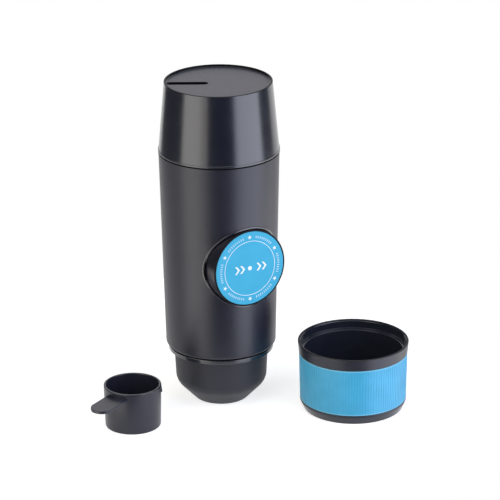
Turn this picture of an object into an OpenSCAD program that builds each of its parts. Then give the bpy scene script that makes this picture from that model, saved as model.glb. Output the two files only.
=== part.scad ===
// Portable espresso maker with a hand pump, its docking cup and its dosing scoop.
// Millimetres. The machine stands on the origin, its push knob points along -Y and +Z is up.

/* [Body] */
// Outer radius of the body at its upper edge
body_top_r = 30.8; // [29.8:0.1:33.4]
// Outer radius of the body at its lower edge
body_bottom_r = 28.4; // [25.6:0.1:30.6]
// Wall of the body shell
body_wall = 2.2; // [1.6:0.1:2.3]
// Height of the body from its lower to its upper edge
body_h = 104.6; // [100:0.1:125]
// Rounding of the body's lower edge
body_edge = 1.5; // [0.6:0.1:1.8]

/* [Tank] */
// How far the tank's lip stands out past the body's upper edge
lip_proud = 0.2; // [0:0.1:1]
// Height of the tank's lip
tank_lip_h = 1; // [0.6:0.1:3]
// Step from the lip in to the tank's side
tank_lip_step = 0.3; // [0.1:0.1:0.8]
// Outer radius of the tank at its top
tank_top_r = 27.5; // [26:0.1:30]
// Height of the tank
tank_h = 36.3; // [30:0.1:60]
// Wall of the tank's side
tank_wall = 2.2; // [1.6:0.1:2.4]
// Thickness of the tank's top
tank_roof = 2.6; // [1.6:0.1:5]
// Width of the raised rim round the tank's top
tank_rim_w = 1; // [0.6:0.1:3]
// Height of the raised rim round the tank's top
tank_rim_h = 1.2; // [0.6:0.1:3]
// Open seam between the body and the tank
seam = 0.3; // [0.2:0.1:0.8]

/* [Deck] */
// Thickness of the deck that closes the body's top
deck_t = 4; // [3.4:0.1:6]
// Distance of the spigot's outside in from the body's upper edge
spigot_in = 4.6; // [4.4:0.1:6]
// Height of the spigot above the deck
spigot_h = 10; // [9.4:0.1:13]
// Wall of the spigot
spigot_wall = 2; // [1.4:0.1:3]
// Height of the tank's mouth above the spigot
mouth_room = 1.3; // [0.8:0.1:3]
// Section radius of the tank's sealing ring
seal_r = 0.55; // [0.4:0.05:0.6]
// Radius of the strainer disc over the deck's inlet
strainer_r = 4.9; // [4.6:0.1:5.8]
// Thickness of the strainer disc
strainer_t = 0.9; // [0.6:0.1:1.5]
// Plain rim outside the strainer's holes
strainer_edge = 1.5; // [1.2:0.1:2]

/* [Threads] */
// Lead of the two-start threads, one full turn
lead = 6; // [5.6:0.1:7]
// Height of a thread ridge above its root
ridge_h = 0.9; // [0.7:0.05:1]
// Width of a ridge at its root
ridge_root_w = 1.3; // [1:0.1:1.5]
// Width of a ridge at its crest
ridge_crest_w = 0.7; // [0.5:0.1:0.9]
// Room between a ridge's crest and the wall that faces it
ridge_room = 0.5; // [0.4:0.05:0.6]
// Turn that one ridge covers, in degrees
ridge_span = 200; // [120:10:220]
// Height of the head's thread above the body's lower edge
head_ridge_up = 3; // [2.4:0.1:3.6]

/* [Knob] */
// Outer radius of the push knob
knob_r = 20.4; // [19:0.1:20.6]
// Wall of the knob's skirt
knob_wall = 1.8; // [1.4:0.1:2.6]
// Length of the knob's skirt
skirt_l = 15; // [13:0.1:17]
// How far the knob's face stands out past the body
knob_proud = 1.45; // [1:0.05:5]
// Height of the knob's axis above the body's lower edge
knob_up = 50.1; // [49:0.1:54]
// Thickness of the knob's front plate
knob_plate = 3; // [2.6:0.1:4]
// Wall of the hub behind the knob's plate
hub_wall = 2.5; // [1.6:0.1:2.8]
// Width of the black rim round the coloured face
knob_rim_w = 0.9; // [0.8:0.1:4]
// Thickness of the coloured face disc
face_t = 0.75; // [0.5:0.05:1.2]
// Wall of the bezel that lines the knob's port
bezel_wall = 0.6; // [0.5:0.1:1.6]
// How far the bezel's edge stands proud of the body
bezel_proud = 0.35; // [0.1:0.05:0.8]
// Distance of the bezel's inner end from the machine's axis
bezel_in = 14; // [12:0.1:16]

/* [Pump] */
// Radius of the pump's bore
bore_r = 9; // [8:0.1:9.6]
// Wall of the pump's cylinder
cyl_wall = 2.5; // [2:0.1:3]
// Stroke of the knob and the piston
stroke = 9; // [7:0.1:10]
// Length of the piston
piston_l = 8; // [7.6:0.1:9]
// Floor left in the piston under its rod
piston_floor = 2; // [1.4:0.1:3]
// Room ahead of the piston at the end of its stroke
piston_room = 1.3; // [0.6:0.1:1.8]
// Section radius of the piston's sealing ring
ring_r = 1; // [0.7:0.05:1.2]
// Radius of the piston rod
rod_r = 4; // [3.4:0.1:4.6]
// Length of the rod's guide bush
bush_l = 4; // [3:0.1:4.6]
// Wall left at the closed end of the pump's bore
end_wall = 2.5; // [1.6:0.1:3]
// Radius of the cylinder's mounting flange
flange_r = 18.5; // [18.2:0.1:20]
// Thickness of the mounting flange
flange_t = 4; // [3.6:0.1:5]
// Thickness of the chassis plate
chassis_t = 3; // [2.4:0.1:3.6]
// Room between the chassis plate's edges and the body
chassis_room = 1.05; // [0.8:0.05:4]
// Wire radius of the knob's return spring
spring_wire = 0.6; // [0.4:0.05:0.7]
// Mean radius of the knob's return spring
spring_r = 9; // [8.4:0.1:10]
// Turns of the knob's return spring
spring_turns = 4; // [3:0.5:4.5]

/* [Valves] */
// Width of the valve head
valve_w = 19; // [17.6:0.1:19.6]
// Depth of the valve head
valve_d = 10; // [10:0.1:11]
// Height of the valve head
valve_h = 34; // [33:0.1:38]
// Distance of the valve column's axis in from the body's wall
valve_in = 9.35; // [9.2:0.05:11]
// Radius of the valve balls
ball_r = 2.4; // [2.2:0.05:2.6]
// Room round a valve ball
ball_room = 0.7; // [0.5:0.05:0.9]
// Radius of the passages that the balls sit on
throat_r = 1.6; // [1.2:0.05:1.8]
// Height of the inlet ball's cage floor above the pump's axis
cage_up = 3.2; // [2.8:0.1:4]
// Height of the chamber that each ball moves in
chamber_h = 4.8; // [4.6:0.1:5.2]
// Depth of the outlet ball's seat below the pump's axis
seat_down = 5; // [4.4:0.1:5.6]
// Radius of the two screwed fittings
fitting_r = 4.95; // [4.6:0.05:5]
// Radius of the fittings' collars
collar_r = 6; // [5.4:0.1:6.4]
// Thickness of the fittings' collars
collar_t = 2; // [1.4:0.1:3]
// Length of the hose barbs
barb_l = 6; // [4:0.1:6]
// Outer radius of the hose barbs
barb_r = 3.4; // [3:0.1:3.4]
// Wall of the hose barbs
barb_wall = 1.6; // [1:0.1:1.8]
// Room between the two barbs in the brew hose
barb_apart = 0.8; // [0.4:0.1:3]
// Wall of the two hoses
hose_wall = 1.5; // [1:0.1:1.8]
// Wire radius of the outlet valve's spring
valve_wire = 0.3; // [0.2:0.05:0.35]
// Turns of the outlet valve's spring
valve_turns = 4; // [3:0.5:4]
// Floor under the outlet valve's spring
spring_floor = 2; // [1.4:0.1:2.4]

/* [Brew group] */
// Height of the threaded socket inside the body
socket_h = 14.4; // [13.8:0.1:17]
// Wall of the threaded socket
socket_wall = 2.7; // [2.2:0.1:3]
// Thickness of the group's plate
group_t = 4; // [3.6:0.1:6]
// How far the docking flange reaches out past the groove's bottom
dock_lip = 1.9; // [1:0.1:2]
// Thickness of the docking flange
dock_h = 1.6; // [0.8:0.1:1.8]
// Height of the groove above the docking flange
groove_h = 1.3; // [1.2:0.1:2]
// Wall between the socket and the groove's bottom
groove_wall = 1.9; // [1.4:0.1:2.3]
// How far the water pocket reaches under the brew hose's bore
pocket_open = 1.4; // [0.8:0.1:1.8]
// Depth of the water pocket
pocket_h = 1.4; // [1:0.1:2]
// Thickness of the shower plate
shower_t = 1.2; // [0.8:0.1:1.6]
// Thickness of the brew gasket
gasket_t = 1.8; // [1.4:0.1:2.2]
// Width of the brew gasket
gasket_w = 2; // [1.4:0.1:2.4]
// Room between the brew gasket and the socket
gasket_room = 1.1; // [0.6:0.1:1.5]

/* [Filter and outlet head] */
// Height of the outlet head below the docking flange
head_h = 27.4; // [26:0.1:34]
// How far the head's upper edge stands out past its neck
head_step = 2.4; // [1.8:0.1:4]
// How far the head narrows down to its shoulder
head_taper = 0.7; // [0:0.1:1]
// Height at which the shoulder starts
shoulder_z = 13.5; // [12.6:0.1:16]
// Radius of the shoulder's rounding
shoulder_r = 8; // [6:0.1:9]
// Bevel at the edge of the foot
foot_edge = 0.6; // [0.3:0.1:1.2]
// Wall of the outlet head's floor
head_wall = 2.5; // [2:0.1:3.4]
// Wall of the head's threaded neck
neck_wall = 2.1; // [1.6:0.1:2.6]
// Room round the filter basket in the neck
basket_room = 0.4; // [0.2:0.1:1]
// Depth of the filter basket below its flange
basket_h = 19; // [14:0.1:24]
// Wall of the filter basket
basket_wall = 0.7; // [0.5:0.1:1]
// Thickness of the filter basket's flange
basket_flange_t = 1.1; // [0.8:0.1:1.6]
// Width of the ledge that carries the basket's screen
screen_ledge = 2; // [1.2:0.1:3]
// Thickness of the basket's screen
screen_t = 0.6; // [0.4:0.1:1]
// Radius of the spout's bore in the head
spout_r = 4; // [3:0.1:5]
// Radius of the nozzle's outlet
nozzle_r = 1.2; // [0.8:0.1:2]
// Thickness of the nozzle's flange
nozzle_flange = 1; // [0.6:0.1:2]
// How far the nozzle's flange reaches out past its bore
nozzle_lip = 2; // [1:0.1:3]

/* [Screws and holes] */
// Shank radius of the screws
screw_r = 1.3; // [1:0.05:1.5]
// Head radius of the screws
screw_head_r = 2.3; // [1.9:0.1:2.4]
// Head height of the screws
screw_head_h = 1.6; // [1.2:0.1:1.8]
// Wall left at the end of a blind screw hole
blind = 1; // [0.6:0.1:1.4]
// Wall of the screw bosses
boss_wall = 1.8; // [1.2:0.1:2.2]
// Height of the screw bosses
boss_h = 5; // [4:0.1:8]
// Distance of the deck's screws in from the body's upper edge
deck_screw_in = 5.8; // [5.2:0.1:7]
// Distance of the group's screws in from the group's edge
group_screw_in = 5; // [4:0.1:6]
// Room between the pump's screw heads and the valve head
screw_room = 0.7; // [0.4:0.1:1.2]
// Height of the pump's screws above and below its axis
pump_screw_up = 9; // [8:0.1:10]
// Distance of the valve head's screws in from its sides
valve_screw_in = 3; // [2.6:0.1:3.2]
// Distance of the valve head's screws in from its ends
valve_screw_down = 3.6; // [3:0.1:4.4]
// Shank radius of the knob's screw
knob_screw_r = 1.5; // [1.2:0.1:2]
// Length of the knob's screw
knob_screw_l = 11; // [8:0.5:14]
// Head radius of the knob's screw
knob_head_r = 3; // [2.4:0.1:4]
// Head height of the knob's screw
knob_head_h = 1.7; // [1.2:0.1:2]
// Radius of the holes in the screens and plates
mesh_r = 0.55; // [0.3:0.05:0.65]
// Plain rim outside the holes in the screens and plates
mesh_edge = 2.2; // [1.6:0.1:3]

/* [Cup] */
// Distance of the cup to the right of the machine's axis
cup_x = 52.1; // [52:0.1:80]
// Distance of the cup in front of the machine's axis
cup_front = 46.4; // [40:0.1:80]
// Room round the docking flange in the cup's mouth
dock_room = 0.3; // [0.3:0.1:0.8]
// Height of the cup
cup_h = 36.2; // [34:0.1:50]
// Height of the plain band below the cup's rim
band_h = 6.1; // [5.5:0.1:9]
// How far the band narrows from the rim down
band_taper = 0.6; // [0:0.1:1]
// Height of the cup's plain base
cup_base_h = 5.1; // [4:0.1:8]
// How far the cup's foot lies in from its base
cup_foot_in = 2.1; // [1:0.1:4]
// Height of the straight edge at the top of the cup's base
base_edge = 1; // [0.4:0.1:2]
// Thickness of the ribbed sleeve
sleeve_t = 1; // [0.7:0.1:1.3]
// How far the sleeve lies below the band and the base
sleeve_inset = 0.05; // [0:0.05:0.5]
// How far the sleeve narrows from top to bottom
sleeve_taper = 0.5; // [0:0.1:1]
// Wall of the cup at its rim
cup_rim_wall = 1.2; // [1.2:0.1:1.6]
// Depth of the ledge inside the cup's rim
cup_ledge = 4.6; // [3:0.1:5]
// Wall of the cup behind its sleeve
cup_wall = 1.4; // [1:0.1:2]
// Thickness of the cup's floor
cup_floor = 2.5; // [1.6:0.1:4]
// Bevel round the inside of the cup's floor
floor_edge = 2; // [1:0.1:4]
// Rounding of the cup's rim and foot
rim_round = 0.6; // [0.4:0.1:0.7]
// How far the docking bead reaches in past the docking flange's edge
bead_snap = 0.1; // [0.05:0.05:0.3]
// Depth of the docking bead below the rim
bead_down = 1; // [0.9:0.05:1.2]

/* [Scoop] */
// Distance of the scoop to the left of the machine's axis
scoop_left = 57.8; // [50:0.1:80]
// Distance of the scoop in front of the machine's axis
scoop_front = 10.8; // [0:0.1:40]
// Outer radius of the scoop at its rim
scoop_r = 14.7; // [12:0.1:18]
// How far the scoop narrows from the rim down
scoop_taper = 0.5; // [0:0.1:2]
// Height of the scoop
scoop_h = 22.3; // [18:0.1:30]
// Wall of the scoop
scoop_wall = 1.2; // [0.8:0.1:2]
// Bevel round the scoop's bottom edge
scoop_edge = 0.6; // [0.3:0.1:1]
// Direction of the scoop's tongue, in degrees from +X
tongue_dir = 208.5; // [150:0.5:250]
// Reach of the tongue from the scoop's axis
tongue_reach = 33; // [26:0.5:45]
// Width of the tongue where it meets the scoop
tongue_root_w = 12.3; // [9:0.1:16]
// Width of the tongue at its round tip
tongue_tip_w = 11.8; // [6:0.1:13]
// Thickness of the tongue
tongue_t = 1.6; // [0.8:0.1:2.4]
// Depth of the tongue's top below the scoop's rim
tongue_down = 2.6; // [1:0.1:6]
// How far the snap ribs stand proud of the scoop
snap_proud = 0.5; // [0.2:0.1:1]
// Height of the snap ribs
snap_h = 4.2; // [2:0.1:6]
// Width of the snap ribs
snap_w = 1.6; // [1:0.1:3]
// Depth of the snap ribs' upper end below the scoop's rim
snap_down = 0.2; // [0.2:0.1:1]

/* [Clearances] */
// Room round a fixed fit
fit = 0.2; // [0.1:0.05:0.3]
// Room round a running fit
run = 0.05; // [0.02:0.01:0.1]
// Room between separate bodies
gap = 0.3; // [0.3:0.05:0.5]
// Room between faces that meet
touch = 0.1; // [0.05:0.05:0.15]

/* [Hidden] */
$fn = 96;
// How deep pieces of one moulding run into each other
sink = 0.4;
// Length added to a cut so that it passes its face
past = 1;

// Levels, from the foot up
dock_z = head_h + gap;
groove_z = dock_z + dock_h;
body_z0 = groove_z + groove_h;
body_z1 = body_z0 + body_h;
group_z0 = body_z0 + socket_h;
group_z1 = group_z0 + group_t;
deck_z0 = body_z1 - deck_t;
spigot_z1 = body_z1 + spigot_h;
tank_z0 = body_z1 + seam;
tank_z1 = tank_z0 + tank_h;
knob_z = body_z0 + knob_up;

// Radii of the tapered body at a height, and of what lies in its ends
function body_r(z) = body_bottom_r + (body_top_r - body_bottom_r) * (z - body_z0) / body_h;
function body_in_r(z) = body_r(z) - body_wall;
deck_r = body_in_r(deck_z0) - fit;
group_r = body_in_r(body_z0) - fit;
tank_lip_r = body_top_r + lip_proud;

// Radii of the two threaded joints, from the fixed piece to the one that screws on
spigot_r = body_top_r - spigot_in;
mouth_r = spigot_r + ridge_h + ridge_room;
mouth_z1 = spigot_z1 + mouth_room;
socket_r = group_r - socket_wall;
groove_r = socket_r + groove_wall;
dock_r = groove_r + dock_lip;
neck_r = socket_r - ridge_h - ridge_room;
neck_in = neck_r - neck_wall;

// Knob and its port
knob_reach = body_r(knob_z) + knob_proud;
face_r = knob_r - knob_rim_w;
bezel_r = knob_r + gap + bezel_wall;
port_r = bezel_r + run;
plate_back = knob_reach - face_t - run - knob_plate;
hub_r = rod_r + hub_wall;
rod_end = plate_back - touch;

// Places along the pump, from the valve column at the back to the knob at the front
valve_y = body_in_r(knob_z) - valve_in;
flange_y1 = valve_y - valve_d / 2;
chassis_y1 = flange_y1 - flange_t;
chassis_y = chassis_y1 - chassis_t;
chassis_w = 2 * (sqrt(pow(body_in_r(group_z1), 2) - pow(chassis_y1, 2)) - chassis_room);
bore_y1 = flange_y1 - end_wall;
piston_y1 = bore_y1 - piston_room - stroke;
piston_y0 = piston_y1 - piston_l;
bush_y1 = piston_y0 - gap;
cyl_y0 = bush_y1 - bush_l;
cyl_r = bore_r + cyl_wall;
hub_end = -cyl_y0 + stroke + gap;
rod_in = piston_l - piston_floor;

// Places of the valve column behind the pump
chamber_r = ball_r + ball_room;
valve_top = knob_z + valve_h / 2;
valve_bottom = knob_z - valve_h / 2;
seat_rise = sqrt(ball_r * ball_r - throat_r * throat_r) + run;
inlet_fit_z = knob_z + cage_up + chamber_h;
inlet_ball_z = knob_z + cage_up + seat_rise;
outlet_ball_z = knob_z - seat_down - seat_rise;
outlet_fit_z = knob_z - seat_down - chamber_h;
valve_spring_z1 = outlet_ball_z - ball_r - touch;
valve_spring_z0 = valve_bottom + spring_floor;
valve_spring_r = ball_r - valve_wire - fit;
pocket_spring_r = valve_spring_r + valve_wire + gap;
feed_r = barb_r - barb_wall;
hose_in = barb_r + touch;
hose_r = hose_in + hose_wall;
brew_hose_z0 = group_z1 + touch;
brew_hose_z1 = valve_bottom - 2 * touch - collar_t;
group_barb_l = brew_hose_z1 - group_z1 - barb_l - barb_apart;

// Screw places
deck_screw_angles = [30, 150, 270];
deck_screw_r = body_top_r - deck_screw_in;
group_screw_angles = [50, 130, 270];
group_screw_r = group_r - group_screw_in;
pump_screw_x = valve_w / 2 + screw_head_r + screw_room;
valve_screw_x = valve_w / 2 - valve_screw_in;
valve_screw_z = valve_h / 2 - valve_screw_down;

// Filter, which hangs below the group's plate
gasket_out = socket_r - gasket_room;
gasket_in = gasket_out - gasket_w;
gasket_z = group_z0 - gasket_t;
shower_r = gasket_in - fit;
pocket_r = valve_y - feed_r + pocket_open;
basket_r = neck_in - basket_room;
basket_z1 = gasket_z - touch;
basket_z0 = basket_z1 - basket_flange_t;
basket_floor = basket_z0 - basket_h;
neck_z1 = basket_z0 - touch;

// Thread places: the moving ridges lie midway between the fixed ones
starts = 2;
ridge_mid = lead / starts / 2;
tank_ridge_z = tank_z0 + seal_r * 2 + ridge_root_w / 2 + ridge_mid / 2;
deck_ridge_z = tank_ridge_z + ridge_mid;
head_ridge_z = body_z0 + head_ridge_up;
group_ridge_z = head_ridge_z - ridge_mid;

// Outlet head: the 45 degree cone runs on from the end of the shoulder's arc
head_top_r = neck_r + head_step;
head_low_r = head_top_r - head_taper;
cone_r = head_low_r - shoulder_r * (1 - cos(45));
cone_z = shoulder_z - shoulder_r * sin(45);
foot_r = cone_r - cone_z + foot_edge / 2;
head_floor = head_wall + foot_edge;
inner_cone = cone_r - cone_z - head_wall * sqrt(2);

// Cup, which docks over the group's flange
cup_mouth_r = dock_r + dock_room;
cup_r = cup_mouth_r + cup_rim_wall;
bead_proud = dock_room + bead_snap;
sleeve_z0 = cup_base_h;
sleeve_z1 = cup_h - band_h;
sleeve_top_r = cup_r - band_taper - sleeve_inset;
sleeve_bottom_r = sleeve_top_r - sleeve_taper;
cup_base_r = sleeve_bottom_r + sleeve_inset;
cup_foot_r = cup_base_r - cup_foot_in;

// Points of an arc about a centre, from one angle to another
function arc(x, y, r, a0, a1, n = 8) =
    [for (i = [0:n]) let (a = a0 + (a1 - a0) * i / n) [x + r * cos(a), y + r * sin(a)]];

// One ring of a thread ridge: root, crest, crest, root
function ridge_ring(root, crest, z, a) =
    let (s = crest > root ? 1 : -1, w = s * ridge_root_w / 2, c = s * ridge_crest_w / 2)
    [for (p = [[root, -w], [crest, -c], [crest, c], [root, w]])
        [p[0] * cos(a), p[0] * sin(a), z + p[1]]];

// One right-hand thread ridge that climbs round the axis
module ridge(root, crest, z0, a0) {
    steps = ceil(ridge_span / 10);
    points = [for (i = [0:steps]) let (t = ridge_span * i / steps)
        each ridge_ring(root, crest, z0 + lead * t / 360, a0 + t)];
    faces = [for (i = [0:steps - 1], j = [0:3]) let (a = i * 4 + j, b = i * 4 + (j + 1) % 4)
        each [[a, b, b + 4], [a, b + 4, a + 4]]];
    e = steps * 4;
    caps = [[0, 3, 2], [0, 2, 1], [e, e + 1, e + 2], [e, e + 2, e + 3]];
    polyhedron(points, concat(faces, caps), convexity = 6);
}

module thread(root, crest, z0) {
    into = crest > root ? -sink : sink;
    for (i = [0:starts - 1])
        ridge(root + into, crest, z0, 360 * i / starts);
}

// Stations of a coil: angle, height and climb; its ends run straight along the axis
function coil_path(r, wire, z0, z1, turns) =
    let (d = wire * 2, climb = (z1 - z0 - 2 * d) / turns, n = turns * 8,
        slope = atan(climb / (2 * PI * r)))
    concat([[0, z0, 90], [0, z0 + d, 50]],
        [for (i = [1:n - 1]) [i * 45, z0 + d + climb * i / 8, slope]],
        [[n * 45, z1 - d, 50], [n * 45, z1, 90]]);

function coil_point(r, s) = [r * cos(s[0]), r * sin(s[0]), s[1]];

// Least gap between stations of a coil that lie half a turn or more apart
function coil_gap(r, wire, path) =
    min([for (i = [0:len(path) - 1], j = [i + 4:1:len(path) - 1])
        norm(coil_point(r, path[i]) - coil_point(r, path[j]))]) - 2 * wire;

module coil(r, wire, z0, z1, turns) {
    path = coil_path(r, wire, z0, z1, turns);
    points = [for (s = path) let (out = [cos(s[0]), sin(s[0]), 0],
            way = [-sin(s[0]) * cos(s[2]), cos(s[0]) * cos(s[2]), sin(s[2])],
            side = cross(way, out))
        each [for (k = [0:5]) coil_point(r, s) + wire * (out * cos(60 * k) + side * sin(60 * k))]];
    last = (len(path) - 1) * 6;
    faces = [for (i = [0:len(path) - 2], j = [0:5]) let (a = i * 6 + j, b = i * 6 + (j + 1) % 6)
        each [[a, a + 6, b + 6], [a, b + 6, b]]];
    caps = [for (k = [1:4]) each [[0, k, k + 1], [last, last + k + 1, last + k]]];
    polyhedron(points, concat(faces, caps), convexity = 10);
}

spring_path = coil_path(spring_r, spring_wire, -cyl_y0, plate_back, spring_turns);
valve_path = coil_path(valve_spring_r, valve_wire, valve_spring_z0, valve_spring_z1, valve_turns);
echo(return_spring_gap = coil_gap(spring_r, spring_wire, spring_path));
echo(outlet_spring_gap = coil_gap(valve_spring_r, valve_wire, valve_path));

// Puts a shape on the knob's axis: its own +Z points out along -Y, from a distance out
module on_knob(out) {
    translate([0, -out, knob_z]) rotate([90, 0, 0]) children();
}

// Puts a shape on the valve column's axis at a height
module on_valve(z) {
    translate([0, valve_y, z]) children();
}

module tube(r_out, r_in, h) {
    difference() {
        cylinder(r = r_out, h = h);
        translate([0, 0, -past]) cylinder(r = r_in, h = h + 2 * past);
    }
}

// A screw with its head below the origin and its shank up along +Z
module screw(shank_r, shank_l, head_r, head_h) {
    translate([0, 0, -head_h]) cylinder(r = head_r, h = head_h);
    translate([0, 0, -sink]) cylinder(r = shank_r, h = shank_l + sink);
}

// Rings of holes for a screen, from a first ring out to the last one, which has a radius
module mesh(first, last, last_r, h) {
    for (i = [first:last], k = [0:i * 6 - 1])
        rotate(k * 60 / i) translate([last_r * i / last, 0, -past])
            cylinder(r = mesh_r, h = h + 2 * past);
}

// A boss on the inside of the body's wall, with a web out into the wall
module wall_boss(at, r, z, h) {
    for (a = at) rotate(a) {
        translate([r, 0, z]) cylinder(r = screw_r + boss_wall, h = h);
        translate([r, -boss_wall, z]) cube([body_in_r(z) + sink - r, 2 * boss_wall, h]);
    }
}

module main_body() {
    inner_top = [body_in_r(body_z1), body_z1];
    outer = concat(
        [[body_bottom_r - body_wall, body_z0]],
        arc(body_r(body_z0 + body_edge) - body_edge, body_z0 + body_edge, body_edge, -90, 0),
        [[body_top_r, body_z1], inner_top]);
    color("#46454b") difference() {
        union() {
            rotate_extrude() polygon(outer);
            wall_boss(deck_screw_angles, deck_screw_r, deck_z0 - touch - boss_h, boss_h);
            wall_boss(group_screw_angles, group_screw_r, group_z1 + touch, boss_h);
        }
        on_knob(bezel_in - past) cylinder(r = port_r, h = knob_reach);
        for (a = deck_screw_angles) rotate(a) translate([deck_screw_r, 0, deck_z0 - boss_h - past])
            cylinder(r = screw_r + touch, h = boss_h + 2 * past);
        for (a = group_screw_angles) rotate(a) translate([group_screw_r, 0, group_z1 - past])
            cylinder(r = screw_r + run, h = boss_h + 2 * past);
    }
}

module knob_bezel() {
    color("#1c1c22") intersection() {
        on_knob(bezel_in) tube(bezel_r, knob_r + gap, knob_reach);
        translate([0, 0, body_z0])
            cylinder(r1 = body_bottom_r + bezel_proud, r2 = body_top_r + bezel_proud, h = body_h);
    }
}

module tank_deck() {
    color("#35353b") difference() {
        union() {
            translate([0, 0, deck_z0]) cylinder(r = deck_r, h = deck_t);
            translate([0, 0, body_z1 - sink]) cylinder(r = spigot_r, h = spigot_h + sink);
            thread(spigot_r, spigot_r + ridge_h, deck_ridge_z);
            on_valve(deck_z0 - barb_l) cylinder(r = barb_r, h = barb_l + sink);
        }
        translate([0, 0, body_z1]) cylinder(r = spigot_r - spigot_wall, h = spigot_h + past);
        on_valve(deck_z0 - barb_l - past) cylinder(r = feed_r, h = barb_l + deck_t + 2 * past);
        on_valve(body_z1 - strainer_t - run) cylinder(r = strainer_r + touch, h = strainer_t + past);
        for (a = deck_screw_angles) rotate(a) translate([deck_screw_r, 0, deck_z0 - past])
            cylinder(r = screw_r + run, h = deck_t - blind + past);
    }
}

module deck_screws() {
    color("#b4b4b8")
    for (a = deck_screw_angles) rotate(a) translate([deck_screw_r, 0, deck_z0 - touch - boss_h])
        screw(screw_r, boss_h + deck_t - blind, screw_head_r, screw_head_h);
}

module inlet_strainer() {
    color("#b9babd") on_valve(body_z1 - strainer_t) difference() {
        cylinder(r = strainer_r, h = strainer_t);
        translate([0, 0, -past]) cylinder(r = mesh_r, h = strainer_t + 2 * past);
        mesh(1, 2, strainer_r - strainer_edge, strainer_t);
    }
}

module tank_seal() {
    color("#2a2a2a") rotate_extrude()
        translate([(spigot_r + mouth_r) / 2, body_z1 + seal_r + touch]) circle(r = seal_r);
}

module water_tank() {
    side_r = tank_lip_r - tank_lip_step;
    lip_z = tank_z0 + tank_lip_h;
    roof_z = tank_z1 - tank_rim_h;
    rim_in = tank_top_r - tank_rim_w;
    cave_z = roof_z - tank_roof;
    cave_r = tank_top_r - tank_wall + (side_r - tank_top_r) * (tank_z1 - cave_z) / (tank_z1 - lip_z);
    color("#26262d") union() {
        rotate_extrude() polygon([[mouth_r, tank_z0], [tank_lip_r, tank_z0], [tank_lip_r, lip_z],
            [side_r, lip_z], [tank_top_r, tank_z1], [rim_in, tank_z1], [rim_in, roof_z],
            [0, roof_z], [0, cave_z], [cave_r, cave_z], [mouth_r, mouth_z1]]);
        thread(mouth_r, mouth_r - ridge_h, tank_ridge_z);
    }
}

module chassis_plate() {
    low = group_z1 + touch;
    color("#8d8f94") difference() {
        translate([-chassis_w / 2, chassis_y, low])
            cube([chassis_w, chassis_t, deck_z0 - touch - low]);
        on_knob(-chassis_y1 - past) cylinder(r = cyl_r + touch, h = chassis_t + 2 * past);
        for (x = [-1, 1], z = [-1, 1]) translate([x * pump_screw_x, 0, z * pump_screw_up])
            on_knob(-chassis_y1 - past) cylinder(r = screw_r + run, h = chassis_t + 2 * past);
    }
}

// The flange is flat above and below, clear of the fittings' collars
module pump_cylinder() {
    color("#d3d2cd") difference() {
        union() {
            intersection() {
                on_knob(-flange_y1) cylinder(r = flange_r, h = flange_t);
                translate([-flange_r, chassis_y1 - past, valve_bottom + gap])
                    cube([2 * flange_r, flange_t + 2 * past, valve_h - 2 * gap]);
            }
            on_knob(-chassis_y1 - sink) cylinder(r = cyl_r, h = chassis_y1 + sink - cyl_y0);
        }
        on_knob(-bore_y1) cylinder(r = bore_r, h = bore_y1 - cyl_y0 + past);
        on_knob(-flange_y1 - past) cylinder(r = throat_r, h = end_wall + 2 * past);
        for (x = [-1, 1], z = [-1, 1]) translate([x * pump_screw_x, 0, z * pump_screw_up])
            on_knob(-flange_y1 - past) cylinder(r = screw_r + touch, h = flange_t + 2 * past);
        for (x = [-1, 1], z = [-1, 1]) translate([x * valve_screw_x, 0, z * valve_screw_z])
            on_knob(-flange_y1 - past) cylinder(r = screw_r + run, h = flange_t - blind + touch + past);
    }
}

module rod_bush() {
    color("#c9b26a") on_knob(-bush_y1) tube(bore_r - run, rod_r + run, bush_l);
}

module pump_screws() {
    color("#b4b4b8")
    for (x = [-1, 1], z = [-1, 1]) translate([x * pump_screw_x, 0, z * pump_screw_up])
        on_knob(-flange_y1) screw(screw_r, flange_t + chassis_t, screw_head_r, screw_head_h);
}

module press_knob() {
    skirt_end = knob_reach - skirt_l;
    head_seat = plate_back + knob_plate - knob_head_h - touch;
    color("#1d1d23") difference() {
        on_knob(skirt_end) cylinder(r = knob_r, h = skirt_l);
        on_knob(skirt_end - past) difference() {
            cylinder(r = knob_r - knob_wall, h = plate_back - skirt_end + past);
            translate([0, 0, hub_end - skirt_end + past]) cylinder(r = hub_r, h = skirt_l);
        }
        on_knob(knob_reach - face_t - run) cylinder(r = face_r + touch, h = face_t + past);
        on_knob(hub_end - past) cylinder(r = rod_r + run, h = plate_back - hub_end + past);
        on_knob(plate_back - past) cylinder(r = knob_screw_r + touch, h = knob_plate + 2 * past);
        on_knob(head_seat) cylinder(r = knob_head_r + touch, h = knob_plate);
    }
}

module knob_face() {
    color("#4fb6e7") on_knob(knob_reach - face_t) cylinder(r = face_r, h = face_t);
}

module knob_screw() {
    color("#b4b4b8") on_knob(plate_back + knob_plate - knob_head_h) mirror([0, 0, 1])
        screw(knob_screw_r, knob_screw_l, knob_head_r, knob_head_h - touch);
}

module piston_rod() {
    root = -piston_y0 - rod_in;
    screw_tip = plate_back + knob_plate - knob_head_h - knob_screw_l - touch;
    color("#c4c6ca") difference() {
        on_knob(root) cylinder(r = rod_r, h = rod_end - root);
        on_knob(screw_tip) cylinder(r = knob_screw_r + run, h = rod_end - screw_tip + past);
    }
}

module piston() {
    mid = -piston_y1 + piston_l / 2 - ring_r;
    color("#e4e2dc") difference() {
        on_knob(-piston_y1) cylinder(r = bore_r - run, h = piston_l);
        on_knob(-piston_y0 - rod_in - touch) cylinder(r = rod_r + run, h = rod_in + past);
        on_knob(mid - run) tube(bore_r + past, bore_r - 2 * ring_r - run, 2 * (ring_r + run));
    }
}

module piston_seal() {
    color("#2a2a2a") on_knob(-piston_y1 + piston_l / 2) rotate_extrude()
        translate([bore_r - ring_r - run, 0]) circle(r = ring_r);
}

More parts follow.
